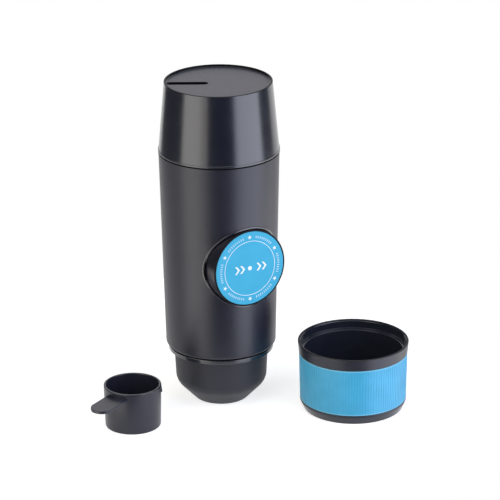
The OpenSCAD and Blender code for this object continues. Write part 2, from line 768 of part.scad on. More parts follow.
module return_spring() {
    color("#c4c6ca") on_knob(0)
        coil(spring_r, spring_wire, -cyl_y0, plate_back, spring_turns);
}

module valve_head() {
    color("#4a4d55") difference() {
        translate([-valve_w / 2, flange_y1, valve_bottom]) cube([valve_w, valve_d, valve_h]);
        on_knob(-valve_y) cylinder(r = throat_r, h = valve_d);
        on_valve(knob_z - seat_down - past) cylinder(r = throat_r, h = seat_down + cage_up + 2 * past);
        on_valve(knob_z + cage_up) cylinder(r = chamber_r, h = chamber_h + past);
        on_valve(knob_z) translate([-chamber_r + ball_room / 2, -ball_room / 2, cage_up - past])
            cube([2 * chamber_r - ball_room, ball_room, 2 * past]);
        on_valve(inlet_fit_z - run) cylinder(r = fitting_r + run, h = valve_h);
        on_valve(outlet_fit_z - past) cylinder(r = chamber_r, h = chamber_h + past);
        on_valve(valve_bottom - past)
            cylinder(r = fitting_r + run, h = outlet_fit_z - valve_bottom + run + past);
        for (x = [-1, 1], z = [-1, 1]) translate([x * valve_screw_x, 0, z * valve_screw_z])
            on_knob(-flange_y1 - valve_d - past) cylinder(r = screw_r + touch, h = valve_d + 2 * past);
    }
}

module valve_screws() {
    color("#b4b4b8")
    for (x = [-1, 1], z = [-1, 1]) translate([x * valve_screw_x, 0, z * valve_screw_z])
        on_knob(-flange_y1 - valve_d)
            screw(screw_r, valve_d + flange_t - blind, screw_head_r, screw_head_h);
}

module inlet_fitting() {
    color("#c9b26a") difference() {
        union() {
            on_valve(inlet_fit_z) cylinder(r = fitting_r, h = valve_top - inlet_fit_z + sink);
            on_valve(valve_top + touch) cylinder(r = collar_r, h = collar_t);
            on_valve(valve_top + touch) cylinder(r = barb_r, h = collar_t + barb_l);
        }
        on_valve(inlet_fit_z - past) cylinder(r = feed_r, h = valve_h + barb_l);
    }
}

module inlet_ball() {
    color("#b9babd") on_valve(inlet_ball_z) sphere(r = ball_r);
}

module outlet_fitting() {
    collar_z = valve_bottom - touch - collar_t;
    color("#c9b26a") difference() {
        union() {
            on_valve(collar_z) cylinder(r = fitting_r, h = outlet_fit_z - collar_z);
            on_valve(collar_z) cylinder(r = collar_r, h = collar_t);
            on_valve(collar_z - barb_l) cylinder(r = barb_r, h = collar_t + barb_l);
        }
        on_valve(valve_bottom - valve_h) cylinder(r = feed_r - touch, h = valve_h * 2);
        on_valve(valve_spring_z0) cylinder(r = pocket_spring_r, h = valve_h);
    }
}

module outlet_ball() {
    color("#b9babd") on_valve(outlet_ball_z) sphere(r = ball_r);
}

module outlet_spring() {
    color("#c4c6ca") on_valve(0)
        coil(valve_spring_r, valve_wire, valve_spring_z0, valve_spring_z1, valve_turns);
}

module feed_hose() {
    low = valve_top + 2 * touch + collar_t;
    color("#cfd3d6") on_valve(low) tube(hose_r, hose_in, deck_z0 - touch - low);
}

module brew_hose() {
    color("#cfd3d6") on_valve(brew_hose_z0) tube(hose_r, hose_in, brew_hose_z1 - brew_hose_z0);
}

module brew_group() {
    color("#35353b") difference() {
        union() {
            translate([0, 0, body_z0]) cylinder(r = group_r, h = group_z1 - body_z0);
            translate([0, 0, groove_z - sink]) cylinder(r = groove_r, h = groove_h + 2 * sink);
            translate([0, 0, dock_z]) cylinder(r = dock_r, h = dock_h);
            on_valve(group_z1 - sink) cylinder(r = barb_r, h = group_barb_l + sink);
        }
        difference() {
            translate([0, 0, dock_z - past]) cylinder(r = socket_r, h = group_z0 - dock_z + past);
            thread(socket_r, socket_r - ridge_h, group_ridge_z);
        }
        difference() {
            translate([0, 0, group_z0 - past]) cylinder(r = pocket_r, h = pocket_h + past);
            translate([0, 0, group_z0]) cylinder(r = screw_r + boss_wall, h = pocket_h + past);
        }
        translate([0, 0, group_z0 - past])
            cylinder(r = screw_r + run, h = group_t - blind + past);
        on_valve(group_z0 - past) cylinder(r = feed_r, h = group_t + group_barb_l + 2 * past);
        for (a = group_screw_angles) rotate(a) translate([group_screw_r, 0, group_z0 - past]) {
            cylinder(r = screw_r + touch, h = group_t + 2 * past);
            cylinder(r = screw_head_r + touch, h = screw_head_h + touch + past);
        }
    }
}

module group_screws() {
    color("#b4b4b8")
    for (a = group_screw_angles) rotate(a) translate([group_screw_r, 0, group_z0 + screw_head_h + touch])
        screw(screw_r, group_t - screw_head_h + boss_h - blind, screw_head_r, screw_head_h);
}

module shower_plate() {
    color("#b9babd") translate([0, 0, group_z0 - shower_t]) difference() {
        cylinder(r = shower_r, h = shower_t);
        translate([0, 0, -past]) cylinder(r = screw_r + touch, h = shower_t + 2 * past);
        mesh(2, 4, pocket_r - mesh_edge, shower_t);
    }
}

module shower_screw() {
    color("#b4b4b8") translate([0, 0, group_z0 - shower_t])
        screw(screw_r, shower_t + group_t - blind - touch, screw_head_r, screw_head_h);
}

module brew_gasket() {
    color("#2a2a2a") translate([0, 0, gasket_z]) tube(gasket_out, gasket_in, gasket_t);
}

module filter_basket() {
    inner = basket_r - basket_wall;
    color("#c4c6ca") rotate_extrude() polygon([[inner - screen_ledge, basket_floor],
        [basket_r, basket_floor], [basket_r, basket_z0], [neck_r, basket_z0],
        [neck_r, basket_z1], [inner, basket_z1], [inner, basket_floor + basket_wall],
        [inner - screen_ledge, basket_floor + basket_wall]]);
}

module basket_screen() {
    screen_r = basket_r - basket_wall - touch;
    color("#b9babd") translate([0, 0, basket_floor + basket_wall]) difference() {
        cylinder(r = screen_r, h = screen_t);
        translate([0, 0, -past]) cylinder(r = mesh_r, h = screen_t + 2 * past);
        mesh(1, 4, screen_r - screen_ledge - mesh_edge, screen_t);
    }
}

module outlet_head() {
    inner_z = neck_in - inner_cone;
    floor_r = head_floor + inner_cone;
    color("#3d3e43") union() {
        rotate_extrude() polygon(concat(
            [[spout_r, 0], [foot_r, 0]],
            [[cone_r - cone_z + foot_edge, foot_edge]],
            arc(head_low_r - shoulder_r, shoulder_z, shoulder_r, -45, 0),
            [[head_top_r, head_h], [neck_r, head_h], [neck_r, neck_z1], [neck_in, neck_z1],
            [neck_in, inner_z], [floor_r, head_floor], [spout_r, head_floor]]));
        thread(neck_r, neck_r + ridge_h, head_ridge_z);
    }
}

module spout_nozzle() {
    color("#5d5f66") difference() {
        union() {
            translate([0, 0, foot_edge]) cylinder(r = spout_r - run, h = head_floor);
            translate([0, 0, head_floor + run]) cylinder(r = spout_r + nozzle_lip, h = nozzle_flange);
        }
        translate([0, 0, -past]) cylinder(r = nozzle_r, h = head_floor + nozzle_flange + 2 * past);
    }
}

module at_cup() {
    translate([cup_x, -cup_front, 0]) children();
}

module cup_shell() {
    low_r = sleeve_bottom_r - sleeve_t;
    high_r = sleeve_top_r - sleeve_t;
    in_r = low_r - cup_wall;
    mouth = cup_mouth_r;
    ledge_z = cup_h - cup_ledge;
    bead_z = cup_h - bead_down;
    color("#30333c") at_cup() rotate_extrude() polygon(concat([[0, 0]],
        arc(cup_foot_r - rim_round, rim_round, rim_round, -90, -40, 3),
        [[cup_base_r, sleeve_z0 - base_edge], [cup_base_r, sleeve_z0], [low_r, sleeve_z0],
        [high_r, sleeve_z1], [cup_r - band_taper, sleeve_z1], [cup_r, cup_h - rim_round],
        [cup_r - rim_round / 2, cup_h],
        [mouth + rim_round / 2, cup_h], [mouth, cup_h - rim_round / 2],
        [mouth, bead_z + bead_proud], [mouth - bead_proud, bead_z], [mouth, bead_z - bead_proud],
        [mouth, ledge_z], [high_r - cup_wall, ledge_z - rim_round],
        [in_r, cup_floor + floor_edge], [in_r - floor_edge, cup_floor], [0, cup_floor]]));
}

module cup_sleeve() {
    color("#3f9fc8") at_cup() rotate_extrude() polygon([
        [sleeve_bottom_r - sleeve_t + run, sleeve_z0 + run], [sleeve_bottom_r, sleeve_z0 + run],
        [sleeve_top_r, sleeve_z1 - run], [sleeve_top_r - sleeve_t + run, sleeve_z1 - run]]);
}

module scoop() {
    low_r = scoop_r - scoop_taper;
    tongue_z = scoop_h - tongue_down - tongue_t;
    tip = tongue_reach - tongue_tip_w / 2;
    color("#414149") translate([-scoop_left, -scoop_front, 0]) union() {
        rotate_extrude() polygon([[0, 0], [low_r - scoop_edge, 0], [low_r, scoop_edge],
            [scoop_r, scoop_h], [scoop_r - scoop_wall, scoop_h],
            [low_r - scoop_wall, scoop_wall + scoop_edge],
            [low_r - scoop_wall - scoop_edge, scoop_wall], [0, scoop_wall]]);
        rotate(tongue_dir) translate([0, 0, tongue_z]) difference() {
            union() {
                linear_extrude(tongue_t) polygon([[0, -tongue_root_w / 2], [tip, -tongue_tip_w / 2],
                    [tip, tongue_tip_w / 2], [0, tongue_root_w / 2]]);
                translate([tip, 0, 0]) cylinder(r = tongue_tip_w / 2, h = tongue_t);
            }
            translate([0, 0, -past]) cylinder(r = scoop_r - scoop_wall / 2, h = tongue_t + 2 * past);
        }
        for (a = [120, 240]) rotate(tongue_dir + a)
            translate([scoop_r - scoop_wall / 2, -snap_w / 2, scoop_h - snap_h])
                cube([scoop_wall / 2 + snap_proud, snap_w, snap_h - snap_down]);
    }
}

main_body();
knob_bezel();
tank_deck();
deck_screws();
inlet_strainer();
tank_seal();
water_tank();
chassis_plate();
pump_cylinder();
rod_bush();
pump_screws();
press_knob();
knob_face();
knob_screw();
piston_rod();
piston();
piston_seal();
return_spring();
valve_head();
valve_screws();
inlet_fitting();
inlet_ball();
outlet_fitting();
outlet_ball();
outlet_spring();
feed_hose();
brew_hose();
brew_group();
group_screws();
shower_plate();
shower_screw();
brew_gasket();
filter_basket();
basket_screen();
outlet_head();
spout_nozzle();
cup_shell();
cup_sleeve();
scoop();
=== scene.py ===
import math
import bpy
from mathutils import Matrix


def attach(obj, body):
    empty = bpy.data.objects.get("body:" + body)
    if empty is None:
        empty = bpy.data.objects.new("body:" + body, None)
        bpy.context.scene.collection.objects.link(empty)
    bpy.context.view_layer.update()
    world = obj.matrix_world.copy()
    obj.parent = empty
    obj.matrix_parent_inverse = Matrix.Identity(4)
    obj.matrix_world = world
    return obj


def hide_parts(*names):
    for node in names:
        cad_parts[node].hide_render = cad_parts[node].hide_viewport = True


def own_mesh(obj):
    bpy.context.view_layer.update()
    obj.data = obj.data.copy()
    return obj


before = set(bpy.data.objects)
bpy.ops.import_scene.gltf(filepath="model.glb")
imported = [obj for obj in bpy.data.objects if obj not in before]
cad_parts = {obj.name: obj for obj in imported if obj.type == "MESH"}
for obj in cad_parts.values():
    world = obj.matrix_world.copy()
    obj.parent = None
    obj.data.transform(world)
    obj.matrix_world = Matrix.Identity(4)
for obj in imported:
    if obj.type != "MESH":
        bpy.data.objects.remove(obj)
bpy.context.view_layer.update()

mm = 0.001
weld = 0.002 * mm  # points nearer than this are one
slack = 0.1  # how far a face may lie from the place that tells its finish
scene = bpy.context.scene
scene.view_settings.view_transform = "Standard"
print("frame loaded:", len(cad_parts), "nodes")


def deselectAll():
    bpy.ops.object.select_all(action="DESELECT")


# camera: a long lens from the front left, looking down
camera = {"place": (-706.9, -1280.7, 637.5), "down": 20.854, "turn": -29.5, "roll": -0.412, "lens": 219.2,
          "farEnd": 20}
deselectAll()
bpy.ops.object.camera_add(
    location=[v * mm for v in camera["place"]],
    rotation=(math.radians(90 - camera["down"]), 0, math.radians(camera["turn"])))
viewer = bpy.context.object
viewer.rotation_euler.rotate_axis("Z", math.radians(camera["roll"]))
viewer.data.lens = camera["lens"]
viewer.data.clip_end = camera["farEnd"]
scene.camera = viewer


def hexToLinear(code):
    parts = [int(code[i:i + 2], 16) / 255 for i in (1, 3, 5)]
    return [p / 12.92 if p <= 0.04045 else ((p + 0.055) / 1.055) ** 2.4 for p in parts] + [1]


def addNode(tree, kind, values={}, links={}, **settings):
    node = tree.nodes.new(kind)
    for key, value in settings.items():
        setattr(node, key, value)
    for key, value in values.items():
        node.inputs[key].default_value = value
    for key, output in links.items():
        tree.links.new(output, node.inputs[key])
    return node


def startMaterial(name):
    material = bpy.data.materials.new(name)
    material.use_nodes = True
    material.node_tree.nodes.clear()
    return material, material.node_tree


# studio: pale round floor, softboxes at the sides and above, and dark cards that shape the gloss
studio = {
    "floorRadius": 170, "nearRadius": 99, "floorZ": -0.05, "floorColour": "#f2f2f0", "floorGlow": 0.72,
    "boxes": [  # angle right of the camera, distance, width, height, centre height, radiance, colour
        ("leftSoftbox", -46, 900, 860, 2000, 300, 1.85, "#fff9f2"),
        ("rightSoftbox", 61, 900, 1000, 2000, 300, 2.55, "#e3eaff"),
        ("lowRightSoftbox", 108, 1000, 640, 600, -510, 1.4, "#faf6f4"),
    ],
    "topZ": 1300, "topWidth": 900, "topRadiance": 1.2, "skyGlow": 0.10,
    "cards": [  # angle, distance, width, height, centre height, grey
        ("frontCard", 2, 1900, 2700, 2200, -300, "#101012"),
        ("rightCard", 109.5, 1000, 620, 1040, 380, "#3c3c40"),
        ("leftCard", -108, 1000, 1380, 1100, 350, "#4c4c50"),
    ],
    "cameraTurn": -120.5,  # direction from the object to the camera, from +X
}


# where a lamp or card stands, and its turn so that it faces the object
def studioSpot(angle, distance, height):
    turn = math.radians(studio["cameraTurn"]) + math.radians(angle)
    spot = (distance * mm * math.cos(turn), distance * mm * math.sin(turn), height * mm)
    return {"location": spot, "rotation": (math.pi / 2, 0, turn + math.pi / 2)}


for name, angle, distance, width, height, up, radiance, colour in studio["boxes"]:
    bpy.ops.object.light_add(type="AREA", **studioSpot(angle, distance, up))
    lamp = bpy.context.object
    lamp.name = name
    lamp.data.shape = "RECTANGLE"
    lamp.data.color = hexToLinear(colour)[:3]
    lamp.data.size = width * mm
    lamp.data.size_y = height * mm
    lamp.data.energy = radiance * math.pi * width * height * mm * mm
    lamp.visible_camera = False
bpy.ops.object.light_add(type="AREA", location=(0, 0, studio["topZ"] * mm))
lamp = bpy.context.object
lamp.name = "topSoftbox"
lamp.data.shape = "DISK"
lamp.data.size = studio["topWidth"] * mm
lamp.data.energy = studio["topRadiance"] * math.pi * math.pi * (studio["topWidth"] / 2 * mm) ** 2
lamp.visible_camera = False

for name, angle, distance, width, height, up, grey in studio["cards"]:
    card, tree = startMaterial(name + "Felt")  # matt felt that takes light away, so the gloss has dark parts
    shader = addNode(tree, "ShaderNodeBsdfDiffuse", {"Color": hexToLinear(grey)})
    addNode(tree, "ShaderNodeOutputMaterial", links={"Surface": shader.outputs[0]})
    deselectAll()
    bpy.ops.mesh.primitive_plane_add(size=1, **studioSpot(angle, distance, up))
    panel = bpy.context.object
    panel.name = name
    panel.scale = (width * mm, height * mm, 1)
    bpy.ops.object.transform_apply(location=True, rotation=True, scale=True)
    panel.data.materials.append(card)
    panel.visible_camera = False
    panel.visible_shadow = False

paper, tree = startMaterial("paintedFloor")  # matt white paint, lifted to white where no shadow falls
light = addNode(tree, "ShaderNodeLightPath")
seen = addNode(tree, "ShaderNodeMath", operation="MAXIMUM",
               links={0: light.outputs["Is Camera Ray"], 1: light.outputs["Is Glossy Ray"]})
seen = addNode(tree, "ShaderNodeMath", operation="MAXIMUM",
               links={0: seen.outputs[0], 1: light.outputs["Is Transmission Ray"]})
lift = addNode(tree, "ShaderNodeMath", {1: studio["floorGlow"]}, {0: seen.outputs[0]}, operation="MULTIPLY")
glow = addNode(tree, "ShaderNodeEmission", {"Color": hexToLinear("#ffffff")}, {"Strength": lift.outputs[0]})
shader = addNode(tree, "ShaderNodeBsdfDiffuse", {"Color": hexToLinear(studio["floorColour"])})
both = addNode(tree, "ShaderNodeAddShader", links={0: shader.outputs[0], 1: glow.outputs[0]})
addNode(tree, "ShaderNodeOutputMaterial", links={"Surface": both.outputs[0]})
onFloor = {"vertices": 128, "radius": studio["nearRadius"] * mm, "location": (0, 0, studio["floorZ"] * mm)}
deselectAll()
bpy.ops.mesh.primitive_circle_add(fill_type="NGON", **onFloor)
floor = bpy.context.object
floor.name = "studioFloor"
floor.data.materials.append(paper)
deselectAll()
bpy.ops.mesh.primitive_circle_add(**onFloor)
margin = bpy.context.object
margin.name = "floorMargin"
bpy.ops.object.mode_set(mode="EDIT")
bpy.ops.mesh.extrude_edges_move()
bpy.ops.transform.resize(value=[studio["floorRadius"] / studio["nearRadius"]] * 2 + [1])
bpy.ops.object.mode_set(mode="OBJECT")
margin.data.materials.append(paper)
margin.visible_glossy = False  # the casing shows the studio below it, as on a small table
margin.visible_shadow = False

world = bpy.data.worlds.new("studioWorld")
scene.world = world
world.use_nodes = True
tree = world.node_tree
tree.nodes.clear()
light = addNode(tree, "ShaderNodeLightPath")
seen = addNode(tree, "ShaderNodeMath", operation="MAXIMUM",
               links={0: light.outputs["Is Camera Ray"], 1: light.outputs["Is Glossy Ray"]})
seen = addNode(tree, "ShaderNodeMath", operation="MAXIMUM",
               links={0: seen.outputs[0], 1: light.outputs["Is Transmission Ray"]})
dim = addNode(tree, "ShaderNodeBackground", {"Color": hexToLinear("#ffffff"), "Strength": studio["skyGlow"]})
white = addNode(tree, "ShaderNodeBackground", {"Color": hexToLinear("#ffffff"), "Strength": 1})
mixed = addNode(tree, "ShaderNodeMixShader",
                links={0: seen.outputs[0], 1: dim.outputs[0], 2: white.outputs[0]})
addNode(tree, "ShaderNodeOutputWorld", links={"Surface": mixed.outputs[0]})
print("studio set")


# plastics and rubbers: soft mottling in the colour, a mould grain in gloss and bump
def mouldedFinish(name, dark, pale, rough, grain, depth, **sockets):
    mottle = 9
    material, tree = startMaterial(name)
    place = addNode(tree, "ShaderNodeTexCoord")
    cloud = addNode(tree, "ShaderNodeTexNoise", {"Scale": 1 / (mottle * mm), "Detail": 3},
                    {"Vector": place.outputs["Object"]})
    tone = addNode(tree, "ShaderNodeValToRGB", links={"Fac": cloud.outputs["Fac"]})
    for element, at, code in zip(tone.color_ramp.elements, (0.35, 0.65), (dark, pale)):
        element.position = at
        element.color = hexToLinear(code)
    pits = addNode(tree, "ShaderNodeTexNoise", {"Scale": 1 / (grain * mm), "Detail": 2, "Roughness": 0.6},
                   {"Vector": place.outputs["Object"]})
    span = {"From Min": 0.3, "From Max": 0.7, "To Min": rough * 0.9, "To Max": rough * 1.1}
    gloss = addNode(tree, "ShaderNodeMapRange", span, {"Value": pits.outputs["Fac"]})
    bump = addNode(tree, "ShaderNodeBump", {"Strength": 1, "Distance": depth * mm},
                   {"Height": pits.outputs["Fac"]})
    shader = addNode(tree, "ShaderNodeBsdfPrincipled", sockets,
                     {"Base Color": tone.outputs["Color"], "Roughness": gloss.outputs["Result"],
                      "Normal": bump.outputs["Normal"]})
    addNode(tree, "ShaderNodeOutputMaterial", links={"Surface": shader.outputs[0]})
    return material


# metals: fine scratches or blast marks in colour, gloss and bump; the scale on each axis draws them out or in
def workedMetal(name, dark, pale, rough, scratch, stretch, depth):
    material, tree = startMaterial(name)
    place = addNode(tree, "ShaderNodeTexCoord")
    along = addNode(tree, "ShaderNodeMapping", {"Scale": stretch}, {"Vector": place.outputs["Object"]})
    lines = addNode(tree, "ShaderNodeTexNoise", {"Scale": 1 / (scratch * mm), "Detail": 3},
                    {"Vector": along.outputs["Vector"]})
    tone = addNode(tree, "ShaderNodeValToRGB", links={"Fac": lines.outputs["Fac"]})
    for element, at, code in zip(tone.color_ramp.elements, (0.3, 0.7), (dark, pale)):
        element.position = at
        element.color = hexToLinear(code)
    span = {"From Min": 0.3, "From Max": 0.7, "To Min": rough * 0.75, "To Max": rough * 1.25}
    gloss = addNode(tree, "ShaderNodeMapRange", span, {"Value": lines.outputs["Fac"]})
    bump = addNode(tree, "ShaderNodeBump", {"Strength": 1, "Distance": depth * mm},
                   {"Height": lines.outputs["Fac"]})
    shader = addNode(tree, "ShaderNodeBsdfPrincipled", {"Metallic": 1},
                     {"Base Color": tone.outputs["Color"], "Roughness": gloss.outputs["Result"],
                      "Normal": bump.outputs["Normal"]})
    addNode(tree, "ShaderNodeOutputMaterial", links={"Surface": shader.outputs[0]})
    return material


# ABS from a spark-eroded mould: satin charcoal
# its grain is drawn coarser than the real 0.1 mm so that it shows
satinAbs = mouldedFinish("satinAbs", "#131422", "#171826", 0.38, 0.6, 0.04, IOR=1.5)
# ABS from a polished mould: deep blue-black gloss with a faint ripple
polishedAbs = mouldedFinish("polishedAbs", "#181b25", "#1b1e29", 0.24, 7, 0.008, IOR=1.54,
                            **{"Coat Weight": 0.5, "Coat Roughness": 0.2})
# the same ABS left satin on the tank's top: shows the light above as an even grey; its colour, paler than the
# tank's sides, is painted light from above
satinTop = mouldedFinish("satinTopAbs", "#2a2a3a", "#2d2d3d", 0.4, 0.7, 0.008, IOR=1.55)
# the same ABS roughened in the mould for the outlet head: duller, so that near things hardly show in it
dullAbs = mouldedFinish("dullAbs", "#191a25", "#1d1e29", 0.55, 0.8, 0.012, IOR=1.5)
# ABS in plain black, polished, for the knob: clear dark gloss on its skirt
knobAbs = mouldedFinish("knobAbs", "#1c1c26", "#1f1f29", 0.26, 5, 0.006, IOR=1.45)
# matt black standing in for the shade in edges, rims and grooves: painted shade that stays dark under any
# light
shadeBlackAbs = mouldedFinish("paintedShadeBlackAbs", "#0e0e13", "#111116", 0.4, 0.6, 0.01, IOR=1.2)
# painted shadow: a dead black edge over the tank's seam, standing in for the shade in the seam's gap, so the
# seam reads as a black line
paintedSeamShadow = mouldedFinish("paintedSeamShadow", "#08080a", "#0c0c0e", 0.9, 0.4, 0.01, IOR=1.03)
# polycarbonate face film printed sky blue on its back: even colour under a smooth satin face
blueFilm = mouldedFinish("blueFaceFilm", "#3eaed1", "#42b2d5", 0.5, 1.2, 0.003, IOR=1.3)
# screen-printed white ink: dense, slightly matt
whiteInk = mouldedFinish("whiteScreenInk", "#eef4f8", "#f6fafc", 0.5, 0.6, 0.003, IOR=1.5)
# moulded silicone sleeve: sky blue, dull, with a trace of dusty sheen
blueSilicone = mouldedFinish("blueSilicone", "#2ea8d0", "#38b0d8", 0.42, 0.5, 0.01, IOR=1.62,
                             **{"Sheen Weight": 0.3, "Sheen Roughness": 0.45})
# the sleeve's lips in paler silicone: a painted highlight along each lip
lipHighlightSilicone = mouldedFinish("lipHighlightSilicone", "#6fc0de", "#79c8e4", 0.4, 0.5, 0.006, IOR=1.41)
# polypropylene from a polished mould: sharp gleams inside the cup and on the scoop's rim; its colour, paler
# than the cup's outside, is painted light inside the cup
cupPolypropylene = mouldedFinish("cupPolypropylene", "#252934", "#292d38", 0.14, 5, 0.006, IOR=1.49)
# the same polypropylene left satin on the cup's outside: dark grey with a soft gleam
satinPolypropylene = mouldedFinish("satinPolypropylene", "#1b1c27", "#1e1f2a", 0.36, 0.7, 0.008, IOR=1.46)
# polypropylene scoop from a lightly textured mould: satin blue-grey
scoopPolypropylene = mouldedFinish("scoopPolypropylene", "#21222f", "#252633", 0.34, 0.7, 0.008, IOR=1.48)
# ABS for the inner mouldings: plain dark grey
innerAbs = mouldedFinish("innerAbs", "#323237", "#38383d", 0.5, 0.9, 0.015, IOR=1.54)
# acetal pump parts: waxy ivory white
ivoryAcetal = mouldedFinish("ivoryAcetal", "#d3d2cb", "#dcdbd5", 0.38, 0.8, 0.01, IOR=1.48,
                            **{"Subsurface Weight": 0.1, "Subsurface Scale": 0.001})
# nitrile rubber seals: dull black
sealNitrile = mouldedFinish("sealNitrile", "#161616", "#1c1c1c", 0.6, 0.5, 0.02, IOR=1.52)
# silicone hose: milky and soft
hoseSilicone = mouldedFinish("hoseSilicone", "#c6ccd0", "#d4d9dc", 0.35, 1.5, 0.01, IOR=1.41,
                             **{"Subsurface Weight": 0.4, "Subsurface Scale": 0.002,
                                "Transmission Weight": 0.25})
# stainless steel, brushed: fine lines round the parts
brushedSteel = workedMetal("brushedSteel", "#b4b6b8", "#c2c4c6", 0.3, 0.6, (1, 1, 12), 0.004)
# spring steel wire, drawn bright: pale grey gleam
springSteel = workedMetal("springSteel", "#a9abad", "#babcbe", 0.24, 0.5, (1, 1, 1), 0.003)
# aluminium, bead blasted: even dull grey
blastedAluminium = workedMetal("blastedAluminium", "#8c8e92", "#9a9ca0", 0.5, 0.5, (1, 1, 1), 0.02)
# brass, turned: warm yellow with fine rings
turnedBrass = workedMetal("turnedBrass", "#b99c58", "#cbb06c", 0.28, 0.4, (1, 1, 8), 0.004)
print("finishes made")


# corners are (radius, height, rounding); the result is a line of points in the XZ plane
def roundCorners(corners, closed, arcStep=18):
    count = len(corners)
    points = []
    for i, corner in enumerate(corners):
        r, z = corner[:2]
        rounding = corner[2] if len(corner) > 2 else 0
        if not rounding or (not closed and i in (0, count - 1)):
            points.append((r, z))
            continue
        last, following = corners[i - 1], corners[(i + 1) % count]
        back = math.atan2(last[1] - z, last[0] - r)
        ahead = math.atan2(following[1] - z, following[0] - r)
        half = abs((ahead - back + math.pi) % (2 * math.pi) - math.pi) / 2
        reach = rounding / math.tan(half)
        middle = math.atan2(math.sin(back) + math.sin(ahead), math.cos(back) + math.cos(ahead))
        far = rounding / math.sin(half)
        centre = (r + far * math.cos(middle), z + far * math.sin(middle))
        first = (r + reach * math.cos(back) - centre[0], z + reach * math.sin(back) - centre[1])
        final = (r + reach * math.cos(ahead) - centre[0], z + reach * math.sin(ahead) - centre[1])
        start = math.atan2(first[1], first[0])
        sweep = (math.atan2(final[1], final[0]) - start + math.pi) % (2 * math.pi) - math.pi
        steps = max(2, math.ceil(abs(sweep) / math.radians(arcStep)))
        for step in range(steps + 1):
            turn = start + sweep * step / steps
            points.append((centre[0] + rounding * math.cos(turn), centre[1] + rounding * math.sin(turn)))
    return points


# long straight runs get rows near both ends, so that their shading stays flat
def addRows(points, closed, longest=8, near=0.3):
    result = []
    for i, (r, z) in enumerate(points):
        result.append((r, z))
        if i + 1 == len(points) and not closed:
            break
        nextR, nextZ = points[(i + 1) % len(points)]
        length = math.hypot(nextR - r, nextZ - z)
        if length < 4 * near:
            continue
        count = max(1, math.ceil((length - 2 * near) / longest))
        for row in range(count + 1):
            share = (near + (length - 2 * near) * row / count) / length
            result.append((r + (nextR - r) * share, z + (nextZ - z) * share))
    return result


# a line of points in mm, drawn by extruding one vertex from each to the next; stays in edit mode
def drawLine(name, points, closed):
    deselectAll()
    bpy.ops.mesh.primitive_plane_add(size=mm)
    piece = bpy.context.object
    piece.name = name
    piece.data.name = name
    bpy.ops.object.mode_set(mode="EDIT")
    bpy.ops.mesh.select_all(action="SELECT")
    bpy.ops.mesh.merge(type="CENTER")
    bpy.ops.transform.translate(value=[v * mm for v in points[0]])
    path = points + points[:1] if closed else points
    for start, end in zip(path, path[1:]):
        move = [(e - s) * mm for s, e in zip(start, end)]
        bpy.ops.mesh.extrude_vertices_move(TRANSFORM_OT_translate={"value": move})
    bpy.ops.mesh.select_all(action="SELECT")
    bpy.ops.mesh.remove_doubles(threshold=weld)
    return piece


# last step of every mesh: from edit mode, merge what coincides, turn the faces outward and shade
def closeMesh(piece, angle=35):
    bpy.ops.mesh.select_all(action="SELECT")
    bpy.ops.mesh.remove_doubles(threshold=weld)
    bpy.ops.mesh.normals_make_consistent(inside=False)
    bpy.ops.object.mode_set(mode="OBJECT")
    bpy.ops.object.shade_smooth_by_angle(angle=math.radians(angle))
    return piece


def spinPiece(name, corners, steps=160, closed=False, rows=True):
    points = roundCorners(corners, closed)
    if rows:
        points = addRows(points, closed)
    piece = drawLine(name, [(r, 0, z) for r, z in points], closed)
    bpy.ops.mesh.spin(steps=steps, angle=2 * math.pi, center=(0, 0, 0), axis=(0, 0, 1))
    return closeMesh(piece)


# a flat outline in mm, filled and raised
def raiseOutline(name, outline, low, high):
    piece = drawLine(name, [(x, y, low) for x, y in outline], True)
    bpy.ops.mesh.edge_face_add()
    bpy.ops.mesh.extrude_region_move(TRANSFORM_OT_translate={"value": (0, 0, (high - low) * mm)})
    return closeMesh(piece)


def pick(piece):
    deselectAll()
    piece.select_set(True)
    bpy.context.view_layer.objects.active = piece


def addModifier(piece, kind, **settings):
    pick(piece)
    modifier = piece.modifiers.new(kind.lower(), kind)
    for key, value in settings.items():
        setattr(modifier, key, value)
    bpy.ops.object.modifier_apply(modifier=modifier.name)


def cutAway(piece, cutter):
    addModifier(piece, "BOOLEAN", operation="DIFFERENCE", solver="EXACT", object=cutter)
    bpy.data.objects.remove(cutter)
    bpy.ops.object.mode_set(mode="EDIT")
    closeMesh(piece)


def softenEdges(piece, width, segments, angle):
    addModifier(piece, "BEVEL", width=width * mm, segments=segments, limit_method="ANGLE",
                angle_limit=math.radians(angle))
    bpy.ops.object.mode_set(mode="EDIT")
    closeMesh(piece, angle)


def layPiece(piece, place=(0, 0, 0), turn=(0, 0, 0)):
    pick(piece)
    piece.rotation_euler = [math.radians(v) for v in turn]
    piece.location = [v * mm for v in place]
    bpy.ops.object.transform_apply(location=True, rotation=True, scale=True)
    return piece


def copyPiece(piece):
    pick(piece)
    bpy.ops.object.duplicate()
    return bpy.context.object


def joinPieces(first, others):
    pick(first)
    for other in others:
        other.select_set(True)
    bpy.ops.object.join()
    return first


# the first material covers the whole piece; the others wait for faces that are given to them
def finishPiece(piece, body, slot, materials, *nodes):
    piece.data.materials.clear()
    for material in materials:
        piece.data.materials.append(material)
    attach(piece, body)
    if nodes:
        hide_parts(*nodes)


# thread: two right-hand ridges, each swept round the axis as it climbs
thread = {"lead": 6, "span": 200, "root": 1.3, "crest": 0.7, "height": 0.9, "sink": 0.3, "steps": 48}


